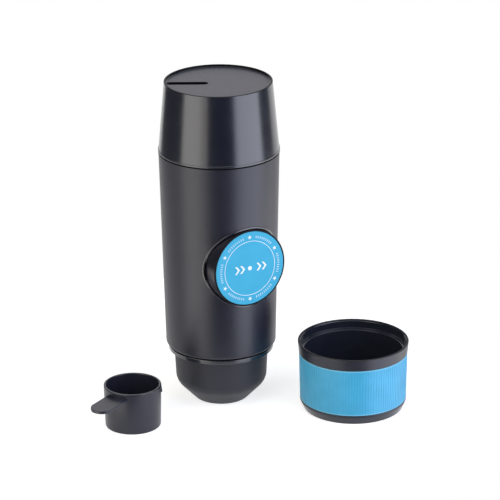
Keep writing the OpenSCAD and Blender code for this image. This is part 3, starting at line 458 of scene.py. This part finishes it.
def threadRidges(name, rootR, outward, startZ):
    way = 1 if outward else -1
    half, tip = thread["root"] / 2, thread["crest"] / 2
    inner, crest = rootR - way * thread["sink"], rootR + way * thread["height"]
    outline = [(inner, 0, startZ - half), (rootR, 0, startZ - half), (crest, 0, startZ - tip),
               (crest, 0, startZ + tip), (rootR, 0, startZ + half), (inner, 0, startZ + half)]
    ridge = drawLine(name, outline, True)
    bpy.ops.object.mode_set(mode="OBJECT")
    climb = thread["lead"] * thread["span"] / 360
    addModifier(ridge, "SCREW", angle=math.radians(thread["span"]), steps=thread["steps"],
                render_steps=thread["steps"], screw_offset=climb * mm, axis="Z")
    bpy.ops.object.mode_set(mode="EDIT")
    bpy.ops.mesh.select_all(action="SELECT")
    bpy.ops.mesh.fill_holes(sides=0)
    closeMesh(ridge)
    second = copyPiece(ridge)
    layPiece(second, turn=(0, 0, 180))
    return joinPieces(ridge, [second])


# water tank: tapered cap with a rolled lip, a rimmed top, a pointer groove, and a thin black edge over the
# seam that is a painted shadow of the seam's gap
tank = {"low": 135.3, "high": 171.8, "lipR": 31.0, "lipStep": 0.3, "lipH": 1.0, "topR": 27.5, "rim": 1.0,
        "rimH": 1.2, "seamShadowOut": 30.98, "seamShadowIn": 30.86, "seamShadowLow": 134.65, "roof": 168.0, "caveR": 25.64,
        "mouthR": 27.6, "mouthH": 146.5, "threadZ": 138.0, "grooveW": 4.4, "grooveDepth": 1.2,
        "grooveFrom": 5, "grooveTo": 26.2, "grooveTurn": 150.5, "grooveAside": 0.8, "steps": 192}
lipTop = tank["low"] + tank["lipH"]
rimR = tank["topR"] - tank["rim"]
rimFloor = tank["high"] - tank["rimH"]
tankShell = spinPiece("tankShell", [
    (0, rimFloor), (rimR, rimFloor, 0.3), (rimR, tank["high"], 0.25), (tank["topR"], tank["high"], 0.3),
    (tank["lipR"] - tank["lipStep"], lipTop, 0.14), (tank["lipR"], lipTop, 0.14),
    (tank["lipR"], tank["low"], 0.15), (tank["seamShadowOut"], tank["low"]), (tank["seamShadowOut"], tank["seamShadowLow"]),
    (tank["seamShadowIn"], tank["seamShadowLow"]), (tank["seamShadowIn"], tank["low"]), (tank["mouthR"], tank["low"], 0.3),
    (tank["mouthR"], tank["mouthH"], 1.5), (tank["caveR"], tank["roof"], 2), (0, tank["roof"])],
    tank["steps"])
half = tank["grooveW"] / 2
ends = [(tank["grooveFrom"] + half, math.pi / 2), (tank["grooveTo"] - half, -math.pi / 2)]
outline = [(x + half * math.cos(start + i * math.pi / 8), half * math.sin(start + i * math.pi / 8))
           for x, start in ends for i in range(9)]
groove = raiseOutline("grooveCutter", outline, rimFloor - tank["grooveDepth"], rimFloor + 1)
layPiece(groove, (0, tank["grooveAside"], 0))
layPiece(groove, turn=(0, 0, tank["grooveTurn"]))
cutAway(tankShell, groove)
joinPieces(tankShell, [threadRidges("tankThread", tank["mouthR"], False, tank["threadZ"])])
finishPiece(tankShell, "tank", "tank_black", (polishedAbs, satinTop, shadeBlackAbs, paintedSeamShadow), "water_tank")
for polygon in tankShell.data.polygons:
    up = polygon.center.z / mm - rimFloor
    out = math.hypot(*polygon.center[:2]) / mm
    onRim = up > slack and (out < tank["topR"] - tank["rim"] / 2 or polygon.normal.z > 0.3)
    inGroove = out < tank["grooveTo"] and -tank["grooveDepth"] - slack < up < -slack / 2
    if polygon.normal.z > 0.99 and abs(up) < slack:
        polygon.material_index = 1  # the flat top, whose paler colour is painted light from above
    elif onRim or inGroove:
        polygon.material_index = 2  # painted shade: the rim's top and inside, and the groove, in matt black
    elif polygon.center.z < (tank["low"] + slack / 5) * mm:
        polygon.material_index = 3  # painted shadow: the black edge over the seam and the face that it hangs from
print("tank made")

# brew group: socket for the outlet head, docking flange below the casing, hose barb above
group = {"r": 26.0, "low": 30.6, "plate": 45, "high": 49, "grooveR": 25.2, "grooveZ": 29.8, "dockR": 27.25,
         "dockZ": 27.7, "socketR": 23.3, "pocketR": 17.6, "pocketZ": 46.4, "bossR": 3.1, "boreR": 1.35,
         "boreTop": 48, "threadZ": 32.1, "valveY": 18, "barbR": 3.4, "barbTop": 54.7, "barbSink": 0.5,
         "barbCone": (0.7, 1.6), "feedR": 1.8, "screwR": 1.4, "screwHeadR": 2.4, "screwHeadZ": 46.8,
         "screwRing": 21.0, "screwTurns": (50, 130, 270), "cut": (40, 60)}
brewGroup = spinPiece("brewGroup", [
    (0, group["high"]), (group["r"], group["high"], 0.4), (group["r"], group["low"], 0.2),
    (group["grooveR"], group["low"]), (group["grooveR"], group["grooveZ"], 0.15),
    (group["dockR"], group["grooveZ"], 0.2), (group["dockR"], group["dockZ"], 0.12),
    (group["socketR"], group["dockZ"], 0.3), (group["socketR"], group["plate"], 0.2),
    (group["pocketR"], group["plate"], 0.2), (group["pocketR"], group["pocketZ"]),
    (group["bossR"], group["pocketZ"]), (group["bossR"], group["plate"]), (group["boreR"], group["plate"]),
    (group["boreR"], group["boreTop"]), (0, group["boreTop"])])
below, above = group["cut"]
holes = [(0, group["valveY"], below, above, group["feedR"])]
for turn in group["screwTurns"]:
    x, y = (group["screwRing"] * part(math.radians(turn)) for part in (math.cos, math.sin))
    holes += [(x, y, below, above, group["screwR"]), (x, y, below, group["screwHeadZ"], group["screwHeadR"])]
for x, y, low, high, r in holes:
    cutter = spinPiece("holeCutter", [(0, low), (r, low), (r, high), (0, high)], 40)
    cutAway(brewGroup, layPiece(cutter, (x, y, 0)))
barbLow = group["high"] - group["barbSink"]
coneIn, coneH = group["barbCone"]
barb = spinPiece("groupBarb", [
    (group["feedR"], barbLow), (group["barbR"], barbLow), (group["barbR"], group["barbTop"] - coneH),
    (group["barbR"] - coneIn, group["barbTop"], 0.2), (group["feedR"], group["barbTop"], 0.2)],
    steps=48, closed=True)
layPiece(barb, (0, group["valveY"], 0))
joinPieces(brewGroup, [barb, threadRidges("groupThread", group["socketR"], False, group["threadZ"])])
finishPiece(brewGroup, "housing", "inner_dark", (innerAbs, polishedAbs), "brew_group")
for polygon in brewGroup.data.polygons:
    out = math.hypot(*polygon.center[:2]) / mm
    if polygon.center.z < (group["grooveZ"] + slack) * mm and out > group["socketR"] + slack:
        polygon.material_index = 1  # the flange that shows below the casing
print("brew group made")

# outlet head: round shouldered cup with a threaded neck
head = {"foot": 13.71, "shoulder": (15.6, 13.5, 8), "topR": 24.3, "top": 27.4, "neckR": 21.9, "neckTop": 41.9,
        "neckIn": 19.8, "innerZ": 9.92, "floorR": 12.98, "floorZ": 3.1, "spoutR": 4, "threadZ": 33.6}
x, z, r = head["shoulder"]
arc = [(x + r * math.cos(math.radians(a)), z + r * math.sin(math.radians(a))) for a in range(-45, 1, 5)]
headShell = spinPiece("headShell", [(head["spoutR"], 0, 0.3), (head["foot"], 0, 1.2)] + arc + [
    (head["topR"], head["top"], 0.35), (head["neckR"], head["top"], 0.3),
    (head["neckR"], head["neckTop"], 0.4), (head["neckIn"], head["neckTop"], 0.4),
    (head["neckIn"], head["innerZ"], 2), (head["floorR"], head["floorZ"], 1),
    (head["spoutR"], head["floorZ"])], closed=True)
joinPieces(headShell, [threadRidges("headThread", head["neckR"], True, head["threadZ"])])
finishPiece(headShell, "head", "casing_black", [dullAbs], "outlet_head")
print("outlet head made")

# press knob: skirted button with a blue face let into its front; built along +Z and laid along -Y
knob = {"axisZ": 80.7, "r": 20.4, "wall": 1.8, "front": 31.0, "rimDeep": 0.5, "skirtEnd": 16.0,
        "plateBack": 27.2, "seat": 30.2, "seatGap": 0.08, "faceR": 19.5, "faceBack": 30.25, "hubR": 6.5,
        "hubEnd": 21.4, "rodR": 4.05, "screwR": 1.6, "screwSeat": 28.4, "screwHeadR": 3.1}
onKnob = {"place": (0, 0, knob["axisZ"]), "turn": (90, 0, 0)}
seatR, skirtIn = knob["faceR"] + knob["seatGap"], knob["r"] - knob["wall"]
knobCap = spinPiece("knobCap", [
    (knob["screwR"], knob["plateBack"]), (knob["screwR"], knob["screwSeat"]),
    (knob["screwHeadR"], knob["screwSeat"]), (knob["screwHeadR"], knob["seat"]), (seatR, knob["seat"]),
    (seatR, knob["front"], 0.15), (knob["r"], knob["front"], 0.45), (knob["r"], knob["skirtEnd"], 0.4),
    (skirtIn, knob["skirtEnd"], 0.3), (skirtIn, knob["plateBack"], 0.8),
    (knob["hubR"], knob["plateBack"], 0.5), (knob["hubR"], knob["hubEnd"], 0.4),
    (knob["rodR"], knob["hubEnd"], 0.3), (knob["rodR"], knob["plateBack"])], closed=True)
layPiece(knobCap, **onKnob)
finishPiece(knobCap, "plunger", "knob_black", (knobAbs, shadeBlackAbs), "press_knob")
for polygon in knobCap.data.polygons:
    if polygon.center.y < -(knob["front"] - knob["rimDeep"]) * mm:
        polygon.material_index = 1  # painted shade: the rim round the printed face, in matt black for the shade in the gap round the face
knobFace = spinPiece("knobFace", [
    (0, knob["faceBack"]), (knob["faceR"], knob["faceBack"]), (knob["faceR"], knob["front"], 0.2),
    (0, knob["front"])])
layPiece(knobFace, **onKnob)
finishPiece(knobFace, "plunger", "face_blue", [blueFilm], "knob_face")

# knob trim: a ring that lines the port, with a lip on the casing; the casing's slope is (height, radius)
trim = {"inR": 20.7, "outR": 21.3, "back": 14.0, "lipR": 21.7, "lipBack": 30.02, "lipFront": 30.35,
        "flat": 30, "casingLow": (30.6, 28.4), "casingHigh": (135.2, 30.8)}
knobTrim = spinPiece("knobTrim", [
    (trim["inR"], trim["back"]), (trim["inR"], trim["lipFront"], 0.15),
    (trim["lipR"], trim["lipFront"], 0.25), (trim["lipR"], trim["lipBack"]),
    (trim["outR"], trim["lipBack"]), (trim["outR"], trim["back"])], steps=192, closed=True)
(lowZ, lowR), (highZ, highR) = trim["casingLow"], trim["casingHigh"]
for vertex in knobTrim.data.vertices:  # the front edge follows the casing's curve
    if vertex.co.z > (trim["flat"] - 1) * mm:
        height = knob["axisZ"] + vertex.co.y / mm
        r = lowR + (highR - lowR) * (height - lowZ) / (highZ - lowZ)
        vertex.co.z += (math.sqrt(r * r - (vertex.co.x / mm) ** 2) - trim["flat"]) * mm
layPiece(knobTrim, **onKnob)
finishPiece(knobTrim, "housing", "knob_black", [polishedAbs], "knob_bezel")

# knob print: a ring, six stars, short ticks between them, and arrows with a dot
ink = {"low": 30.98, "high": 31.04, "ringR": 14.35, "ringW": 0.24, "starR": 1.25, "starIn": 0.5,
       "starAt": 16.6, "tickFrom": 16.0, "tickTo": 17.2, "tickW": 0.28, "ticks": 9, "tickStep": 4.2,
       "arrowH": 4.2, "arrowW": 1.1, "arrowDeep": 1.7, "arrowsAt": (-8.6, -5.6, 3.9, 6.9), "dotR": 1.1}
ringOut, half = ink["ringR"] + ink["ringW"], ink["tickW"] / 2
knobPrint = spinPiece("knobPrint", [
    (ink["ringR"], ink["low"]), (ringOut, ink["low"]), (ringOut, ink["high"]), (ink["ringR"], ink["high"])],
    closed=True, rows=False)
marks = []
star = [(ink["starAt"] + r * math.cos(math.radians(a)), r * math.sin(math.radians(a)))
        for a, r in ((36 * i, ink["starR"] if i % 2 == 0 else ink["starIn"]) for i in range(10))]
tick = [(ink["tickFrom"], -half), (ink["tickTo"], -half), (ink["tickTo"], half), (ink["tickFrom"], half)]
firstStar = raiseOutline("star", star, ink["low"], ink["high"])
firstTick = raiseOutline("tick", tick, ink["low"], ink["high"])
for i in range(6):
    marks.append(layPiece(copyPiece(firstStar), turn=(0, 0, 30 + 60 * i)))
    for j in range(ink["ticks"]):
        turn = 60 * i + (j - (ink["ticks"] - 1) / 2) * ink["tickStep"]
        marks.append(layPiece(copyPiece(firstTick), turn=(0, 0, turn)))
bpy.data.objects.remove(firstStar)
bpy.data.objects.remove(firstTick)
tall, wide, deep = ink["arrowH"] / 2, ink["arrowW"], ink["arrowDeep"]
arrow = [(0, tall), (wide, tall), (wide + deep, 0), (wide, -tall), (0, -tall), (deep, 0)]
for at in ink["arrowsAt"]:
    marks.append(raiseOutline("arrow", [(at + x, y) for x, y in arrow], ink["low"], ink["high"]))
dot = [(ink["dotR"] * math.cos(i * math.pi / 16), ink["dotR"] * math.sin(i * math.pi / 16))
       for i in range(32)]
marks.append(raiseOutline("dot", dot, ink["low"], ink["high"]))
joinPieces(knobPrint, marks)
layPiece(knobPrint, **onKnob)
finishPiece(knobPrint, "plunger", "face_blue", [whiteInk])
print("knob made")

# coffee cup: black cup with a stepped mouth, a bead to hold it on the flange, and a waist for its sleeve
cup = {"place": (52.1, -46.4, 0), "h": 36.2, "r": 28.6, "bandLow": 30.1, "bandLowR": 28.0, "waistTopR": 26.9,
       "waistLowR": 26.4, "baseH": 5.1, "baseR": 27.5, "baseTurn": 1.0, "footR": 25.8, "footIn": (4, 4.6),
       "footDeep": 0.8, "mouthR": 27.4, "ledge": 31.6, "ledgeFall": 0.6, "beadZ": 35.2, "bead": 0.4,
       "inTopR": 25.5, "inLowR": 25.0, "floor": 2.5, "steps": 192, "edge": 0.4}
hollowR, ringR = (cup["footR"] - v for v in cup["footIn"])
cupShell = spinPiece("cupShell", [
    (0, cup["footDeep"]), (hollowR, cup["footDeep"], 0.5), (ringR, 0, 0.4), (cup["footR"], 0, 0.7),
    (cup["baseR"], cup["baseH"] - cup["baseTurn"], 2), (cup["baseR"], cup["baseH"], 0.25),
    (cup["waistLowR"], cup["baseH"]), (cup["waistTopR"], cup["bandLow"]),
    (cup["bandLowR"], cup["bandLow"], 0.3), (cup["r"], cup["h"], 0.3), (cup["mouthR"], cup["h"], 0.2),
    (cup["mouthR"], cup["beadZ"] + cup["bead"]), (cup["mouthR"] - cup["bead"], cup["beadZ"], 0.3),
    (cup["mouthR"], cup["beadZ"] - cup["bead"]), (cup["mouthR"], cup["ledge"], 0.15),
    (cup["inTopR"], cup["ledge"] - cup["ledgeFall"], 0.2), (cup["inLowR"], cup["floor"], 3),
    (0, cup["floor"])], cup["steps"])
layPiece(cupShell, cup["place"])
finishPiece(cupShell, "cup", "cup_black", (cupPolypropylene, satinPolypropylene, shadeBlackAbs), "cup_shell")
for polygon in cupShell.data.polygons:
    x, y = polygon.center.x - cup["place"][0] * mm, polygon.center.y - cup["place"][1] * mm
    if polygon.normal.x * x + polygon.normal.y * y > 0 and math.hypot(x, y) > cup["mouthR"] * mm:
        polygon.material_index = 1  # the outside is satin, the inside polished and paler: painted light inside the cup
    if polygon.normal.z > 0.6 and polygon.center.z > (cup["h"] - cup["edge"]) * mm:
        polygon.material_index = 2  # painted shade: the mouth's top edge, in matt black

# sleeve: a band round the cup's waist with a lip at each end and fine ribs between
sleeve = {"low": 5.15, "high": 30.05, "lowR": 27.45, "topR": 27.95, "wall": 0.95, "lip": 0.7, "ribs": 120,
          "ribH": 0.17, "ribEnd": 0.25, "ribSoft": 0.08, "ribArea": 5}
valleyLow, valleyTop = sleeve["lowR"] - sleeve["ribH"], sleeve["topR"] - sleeve["ribH"]
lowerLip, upperLip = sleeve["low"] + sleeve["lip"], sleeve["high"] - sleeve["lip"]
cupSleeve = spinPiece("cupSleeve", [
    (sleeve["lowR"] - sleeve["wall"], sleeve["low"]), (sleeve["lowR"], sleeve["low"], 0.25),
    (sleeve["lowR"], lowerLip, 0.12), (valleyLow, lowerLip), (valleyLow, lowerLip + sleeve["ribEnd"]),
    (valleyTop, upperLip - sleeve["ribEnd"]), (valleyTop, upperLip), (sleeve["topR"], upperLip, 0.12),
    (sleeve["topR"], sleeve["high"], 0.25), (sleeve["topR"] - sleeve["wall"], sleeve["high"])],
    steps=2 * sleeve["ribs"], closed=True, rows=False)
pick(cupSleeve)
bpy.ops.object.mode_set(mode="EDIT")
bpy.ops.mesh.select_mode(type="FACE")
bpy.ops.mesh.select_all(action="DESELECT")
bpy.ops.object.mode_set(mode="OBJECT")
for polygon in cupSleeve.data.polygons:  # every second strip of the long outer wall becomes a rib
    x, y = polygon.center[:2]
    strip = math.floor(math.atan2(y, x) % (2 * math.pi) / (math.pi / sleeve["ribs"]))
    outward = polygon.normal.x * x + polygon.normal.y * y > 0
    polygon.select = outward and polygon.area > sleeve["ribArea"] * mm * mm and strip % 2 == 0
bpy.ops.object.mode_set(mode="EDIT")
bpy.ops.mesh.extrude_region_shrink_fatten(TRANSFORM_OT_shrink_fatten={"value": sleeve["ribH"] * mm})
bpy.ops.mesh.select_mode(type="VERT")
closeMesh(cupSleeve)
softenEdges(cupSleeve, sleeve["ribSoft"], 1, 50)
layPiece(cupSleeve, cup["place"])
finishPiece(cupSleeve, "cup", "sleeve_blue", (blueSilicone, lipHighlightSilicone), "cup_sleeve")
for polygon in cupSleeve.data.polygons:
    if not lowerLip <= polygon.center.z / mm <= upperLip:
        polygon.material_index = 1  # the lips, with their painted highlight
print("cup made")

# measuring scoop: small tapered bowl, flat tongue handle and two snap wedges
scoop = {"place": (-57.8, -10.8, 0), "turn": 208.5, "lowR": 14.2, "r": 14.7, "h": 22.3, "wall": 1.2,
         "rim": 0.55, "tongueTop": 19.7, "tongueT": 1.6, "tongueRoot": 12.3, "tongueTip": 11.8,
         "tongueReach": 33.0, "tongueFrom": 14.0, "tongueSoft": 0.2, "snapTurns": (120, 240), "snapW": 1.6,
         "snapLow": 18.1, "snapHigh": 22.1, "snapIn": 14.0, "snapProud": 0.5, "snapSoft": 0.15}
scoopBowl = spinPiece("scoopBowl", [
    (0, 0), (scoop["lowR"], 0, 0.8), (scoop["r"], scoop["h"], 0.35),
    (scoop["r"] - scoop["wall"], scoop["h"], 0.35), (scoop["lowR"] - scoop["wall"], scoop["wall"], 1.4),
    (0, scoop["wall"])], steps=128)
fromR, tipR = scoop["tongueFrom"], scoop["tongueTip"] / 2
tipX = scoop["tongueReach"] - tipR
rootHalf = scoop["tongueRoot"] / 2 + (tipR - scoop["tongueRoot"] / 2) * fromR / tipX
rootTurn = math.asin(rootHalf / fromR)
outline = [(tipX + tipR * math.cos(math.radians(a)), tipR * math.sin(math.radians(a)))
           for a in range(-90, 91, 10)]
outline += [(fromR * math.cos(rootTurn * i / 5), fromR * math.sin(rootTurn * i / 5))
            for i in range(5, -6, -1)]
tongue = raiseOutline("scoopTongue", outline, scoop["tongueTop"] - scoop["tongueT"], scoop["tongueTop"])
softenEdges(tongue, scoop["tongueSoft"], 2, 40)
wedge = [(scoop["snapIn"], scoop["snapLow"]), (scoop["r"] + scoop["snapProud"], scoop["snapLow"]),
         (scoop["r"], scoop["snapHigh"]), (scoop["snapIn"], scoop["snapHigh"])]
snaps = []
for turn in scoop["snapTurns"]:
    snap = raiseOutline("scoopSnap", wedge, -scoop["snapW"] / 2, scoop["snapW"] / 2)
    softenEdges(snap, scoop["snapSoft"], 2, 40)
    layPiece(snap, turn=(90, 0, 0))
    snaps.append(layPiece(snap, turn=(0, 0, turn)))
joinPieces(scoopBowl, [tongue] + snaps)
layPiece(scoopBowl, scoop["place"], (0, 0, scoop["turn"]))
finishPiece(scoopBowl, "scoop", "casing_black", (scoopPolypropylene, cupPolypropylene), "scoop")
for polygon in scoopBowl.data.polygons:
    if polygon.center.z > (scoop["h"] - scoop["rim"]) * mm:
        polygon.material_index = 1  # polished rim
print("scoop made")


# wound wire spring along +Z: a closed turn at each end, hardly more than a wire's width high, and open
# turns between
def windSpring(name, spring, steps=28, closedRise=2.05):
    coilR, wireR = spring["coilR"], spring["wireR"]
    ring = [(coilR + wireR * math.cos(i * math.pi / 5), wireR * math.sin(i * math.pi / 5)) for i in range(10)]
    flat = closedRise * wireR
    rise = (spring["high"] - spring["low"] - 2 * wireR - 2 * flat) / spring["turns"]
    turns = []
    z = spring["low"] + wireR
    for count, climb in ((1, flat), (spring["turns"], rise), (1, flat)):
        wire = drawLine(name, [(x, 0, y + z) for x, y in ring], True)
        bpy.ops.object.mode_set(mode="OBJECT")
        addModifier(wire, "SCREW", angle=2 * math.pi, steps=steps, render_steps=steps, iterations=count,
                    screw_offset=climb * mm, axis="Z")
        turns.append(wire)
        z += count * climb
    joinPieces(turns[0], turns[1:])
    bpy.ops.object.mode_set(mode="EDIT")
    bpy.ops.mesh.select_all(action="SELECT")
    bpy.ops.mesh.remove_doubles(threshold=5 * weld)
    bpy.ops.mesh.fill_holes(sides=0)
    return closeMesh(turns[0], 50)


pressSpring = {"coilR": 9.0, "wireR": 0.6, "low": 12.1, "high": 27.2, "turns": 3, "travel": 9}
knobSpring = windSpring("knobSpring", pressSpring)
layPiece(knobSpring, **onKnob)
finishPiece(knobSpring, "housing", "steel", [springSteel], "return_spring")
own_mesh(knobSpring)
ballSpring = {"coilR": 1.9, "wireR": 0.3, "low": 65.7, "high": 71.36, "turns": 3, "travel": 1.5}
valveSpring = windSpring("valveSpring", ballSpring)
layPiece(valveSpring, (0, group["valveY"], 0))
finishPiece(valveSpring, "housing", "steel", [springSteel], "outlet_spring")
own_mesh(valveSpring)

# hoses: pushed over their barbs; the long one narrows between them
hoses = {"outR": 5.0, "inR": 3.5, "waist": 0.4, "ease": 1.5, "feed": (99.9, 131.1),
         "feedWaist": (106.5, 124.5), "brew": (49.1, 61.5)}
for name, node in (("feed", "feed_hose"), ("brew", "brew_hose")):
    low, high = hoses[name]
    outside = [(hoses["outR"], low, 0.4)]
    inside = [(hoses["inR"], high, 0.3)]
    if name == "feed":
        start, end = hoses["feedWaist"]
        for z, narrow in ((start, 0), (start + hoses["ease"], 1), (end - hoses["ease"], 1), (end, 0)):
            outside.append((hoses["outR"] - narrow * hoses["waist"], z, hoses["ease"]))
            inside.insert(1, (hoses["inR"] - narrow * hoses["waist"], z, hoses["ease"]))
    outside.append((hoses["outR"], high, 0.4))
    hose = spinPiece(name + "Hose", outside + inside + [(hoses["inR"], low, 0.3)], 64, closed=True)
    layPiece(hose, (0, group["valveY"], 0))
    finishPiece(hose, "housing", "hose_clear", [hoseSilicone], node)
print("springs and hoses made")

# finishes for the solids that stay as they are
nodeFinishes = {
    "main_body": satinAbs, "tank_deck": innerAbs, "deck_screws": brushedSteel, "inlet_strainer": brushedSteel,
    "tank_seal": sealNitrile, "chassis_plate": blastedAluminium, "pump_cylinder": ivoryAcetal,
    "rod_bush": turnedBrass, "pump_screws": brushedSteel, "knob_screw": brushedSteel,
    "piston_rod": brushedSteel, "piston": ivoryAcetal, "piston_seal": sealNitrile, "valve_head": innerAbs,
    "valve_screws": brushedSteel, "inlet_fitting": turnedBrass, "inlet_ball": springSteel,
    "outlet_fitting": turnedBrass, "outlet_ball": springSteel, "group_screws": brushedSteel,
    "shower_plate": brushedSteel, "shower_screw": brushedSteel, "brew_gasket": sealNitrile,
    "filter_basket": brushedSteel, "basket_screen": brushedSteel, "spout_nozzle": sealNitrile,
}
for name, material in nodeFinishes.items():
    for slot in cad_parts[name].material_slots:
        slot.material = material
print("solids finished")
